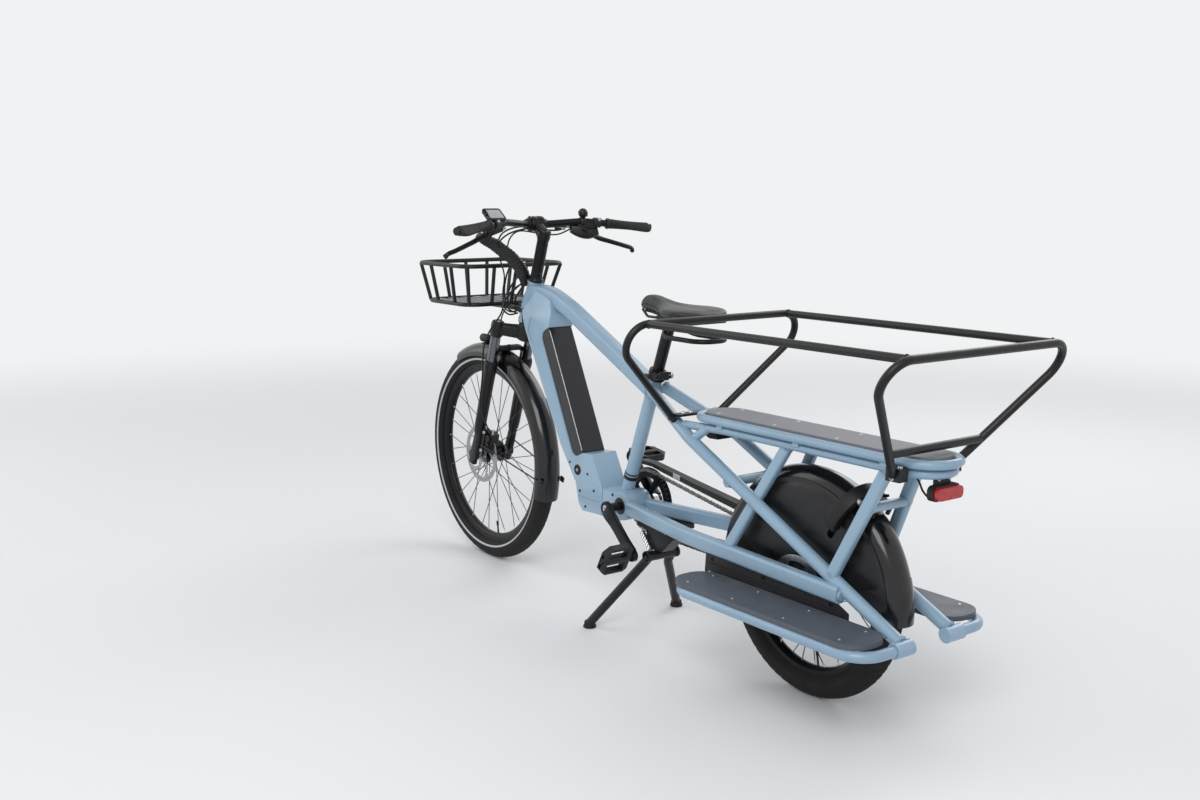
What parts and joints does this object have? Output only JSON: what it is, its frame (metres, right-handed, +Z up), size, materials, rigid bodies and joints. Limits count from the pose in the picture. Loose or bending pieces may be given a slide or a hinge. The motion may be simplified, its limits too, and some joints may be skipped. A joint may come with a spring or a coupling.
{
  "type": "longtail cargo bike",
  "caption": "Longtail electric cargo bike with a mid motor, long rear deck in a tube carrier, two footboards, front basket, suspension fork, ring lock and two-leg stand.",
  "frame": {"origin": "on the ground under the middle of the bike's box", "axes": "+X forward, +Y to the rider's left, +Z up"},
  "size_m": [2.1784, 0.6732, 1.1045],
  "materials": {
    "frame_paint": "pale blue satin coat",
    "black_coat": "black satin coat",
    "dark_alloy": "dark anodised",
    "black_alloy": "black anodised",
    "black_plastic": "black moulded",
    "battery_shell": "black satin",
    "board_grey": "grey fine grain",
    "red_lens": "red lens",
    "steel": "satin steel",
    "rubber": "soft black",
    "saddle_cover": "black textured cover",
    "tyre": "black with a pale side strip"
  },
  "bodies": {
    "frame": {"top_tube": "frame_paint", "down_tube": "frame_paint", "seat_tube": "frame_paint", "motor_cover": "frame_paint", "motor_unit": "dark_alloy", "long_tubes": "frame_paint", "deck_frame": "frame_paint", "rear_arch": "frame_paint", "seat_clamp": "black_coat", "deck_board": "board_grey", "carrier_front": "black_coat", "carrier_rear": "black_coat", "rear_mudguard": "black_plastic", "rear_lamp": "red_lens", "ring_lock": "black_plastic", "chain": "steel", "stand_block": "black_coat", "basket": "black_coat", "chainstay_left": "frame_paint", "chainstay_right": "frame_paint", "footrest_tube_left": "frame_paint", "footrest_tube_right": "frame_paint", "footboard_left": "board_grey", "footboard_right": "board_grey", "side_panel_left": "black_plastic", "side_panel_right": "black_plastic", "side_guard_left": "black_plastic", "side_guard_right": "black_plastic"},
    "steering": {"fork_crown": "dark_alloy", "stem": "black_coat", "handlebar": "black_coat", "grip_left": "rubber", "grip_right": "rubber", "display": "black_plastic", "bell": "black_coat", "control_cables": "black_plastic"},
    "fork": {"fork_lowers": "black_coat", "front_mudguard": "black_plastic", "front_lamp": "black_plastic"},
    "front_wheel": {"front_tyre": "tyre", "front_wheel": "black_alloy"},
    "rear_wheel": {"rear_tyre": "tyre", "rear_wheel": "black_alloy"},
    "sprocket": {"rear_sprocket": "steel"},
    "cranks": {"crank_left": "dark_alloy", "crank_right": "dark_alloy"},
    "pedal_left": {"pedal_left": "black_plastic"},
    "pedal_right": {"pedal_right": "black_plastic"},
    "stand": {"stand": "black_coat"},
    "battery": {"battery": "battery_shell"},
    "battery_lock": {"battery_lock": "steel"},
    "clamp_lever": {"seat_clamp_lever": "black_coat"},
    "seat": {"seatpost": "black_coat", "saddle": "saddle_cover"},
    "lock_shackle": {"lock_shackle": "steel"},
    "brake_lever_left": {"brake_lever_left": "dark_alloy"},
    "brake_lever_right": {"brake_lever_right": "dark_alloy"},
    "shift_lever": {"shift_lever": "black_plastic"},
    "bell_striker": {"bell_striker": "black_coat"},
    "display_buttons": {"display_buttons": "rubber"}
  },
  "joints": [
    {"name": "steer", "type": "hinge", "parent": "frame", "child": "steering", "pos_m": [0.4985, 0, 0.885], "axis": [-0.3256, 0, 0.9455], "range_deg": [-60, 60], "deforming": ["control_cables"]},
    {"name": "fork_travel", "type": "slide", "parent": "steering", "child": "fork", "axis": [-0.3256, 0, 0.9455], "range_m": [0, 0.03], "stiffness_N_per_m": 9000, "springref_m": -0.03},
    {"name": "front_wheel_spin", "type": "hinge", "parent": "fork", "child": "front_wheel", "pos_m": [0.7565, 0, 0.333], "axis": [0, 1, 0], "continuous": true},
    {"name": "rear_wheel_spin", "type": "hinge", "parent": "frame", "child": "rear_wheel", "pos_m": [-0.6385, 0, 0.258], "axis": [0, 1, 0], "continuous": true},
    {"name": "crank_spin", "type": "hinge", "parent": "frame", "child": "cranks", "pos_m": [0.0335, 0, 0.312], "axis": [0, 1, 0], "continuous": true},
    {"name": "sprocket_spin", "type": "hinge", "parent": "frame", "child": "sprocket", "pos_m": [-0.6385, 0, 0.258], "axis": [0, 1, 0], "continuous": true},
    {"name": "pedal_left_spin", "type": "hinge", "parent": "cranks", "child": "pedal_left", "pos_m": [-0.0935, 0.151, 0.215], "axis": [0, 1, 0], "continuous": true},
    {"name": "pedal_right_spin", "type": "hinge", "parent": "cranks", "child": "pedal_right", "pos_m": [0.1605, -0.151, 0.409], "axis": [0, 1, 0], "continuous": true},
    {"name": "stand_fold", "type": "hinge", "parent": "frame", "child": "stand", "pos_m": [-0.0935, 0, 0.203], "axis": [0, 1, 0], "range_deg": [0, 105]},
    {"name": "battery_slide", "type": "slide", "parent": "frame", "child": "battery", "axis": [0, 1, 0], "range_m": [0, 0.065]},
    {"name": "battery_lock_turn", "type": "hinge", "parent": "frame", "child": "battery_lock", "pos_m": [0.2295, 0.041, 0.376], "axis": [0, 1, 0], "range_deg": [0, 90]},
    {"name": "clamp_lever_turn", "type": "hinge", "parent": "frame", "child": "clamp_lever", "pos_m": [-0.10356, 0.0285, 0.6773], "axis": [0, -1, 0], "range_deg": [0, 150]},
    {"name": "seat_height", "type": "slide", "parent": "frame", "child": "seat", "axis": [-0.3487, 0, 0.9372], "range_m": [-0.06, 0.02]},
    {"name": "lock_shackle_turn", "type": "hinge", "parent": "frame", "child": "lock_shackle", "pos_m": [-0.76144, 0, 0.45475], "axis": [-0.848, 0, -0.5299], "range_deg": [0, 140]},
    {"name": "brake_lever_left_pull", "type": "hinge", "parent": "steering", "child": "brake_lever_left", "pos_m": [0.4735, 0.172, 1.024], "axis": [0.5631, 0.2967, 0.7713], "range_deg": [0, 18], "stiffness_Nm_per_rad": 0.8, "springref_deg": -17.19},
    {"name": "brake_lever_right_pull", "type": "hinge", "parent": "steering", "child": "brake_lever_right", "pos_m": [0.4735, -0.172, 1.024], "axis": [-0.5631, 0.2967, -0.7713], "range_deg": [0, 18], "stiffness_Nm_per_rad": 0.8, "springref_deg": -17.19},
    {"name": "shift_lever_push", "type": "hinge", "parent": "steering", "child": "shift_lever", "pos_m": [0.45555, -0.13, 1.02971], "axis": [0.3256, 0, -0.9455], "range_deg": [0, 25], "stiffness_Nm_per_rad": 0.05, "springref_deg": -28.65},
    {"name": "bell_striker_flick", "type": "hinge", "parent": "steering", "child": "bell_striker", "pos_m": [0.44018, -0.132, 1.06885], "axis": [0, -1, 0], "range_deg": [0, 20], "stiffness_Nm_per_rad": 0.004, "springref_deg": -22.92},
    {"name": "display_button_press", "type": "slide", "parent": "steering", "child": "display_buttons", "axis": [0, -1, 0], "range_m": [0, 0.002], "stiffness_N_per_m": 200, "springref_m": -0.003}
  ],
  "couplings": [
    {"joint": "sprocket_spin", "follows": "crank_spin", "ratio": 2.3333}
  ]
}
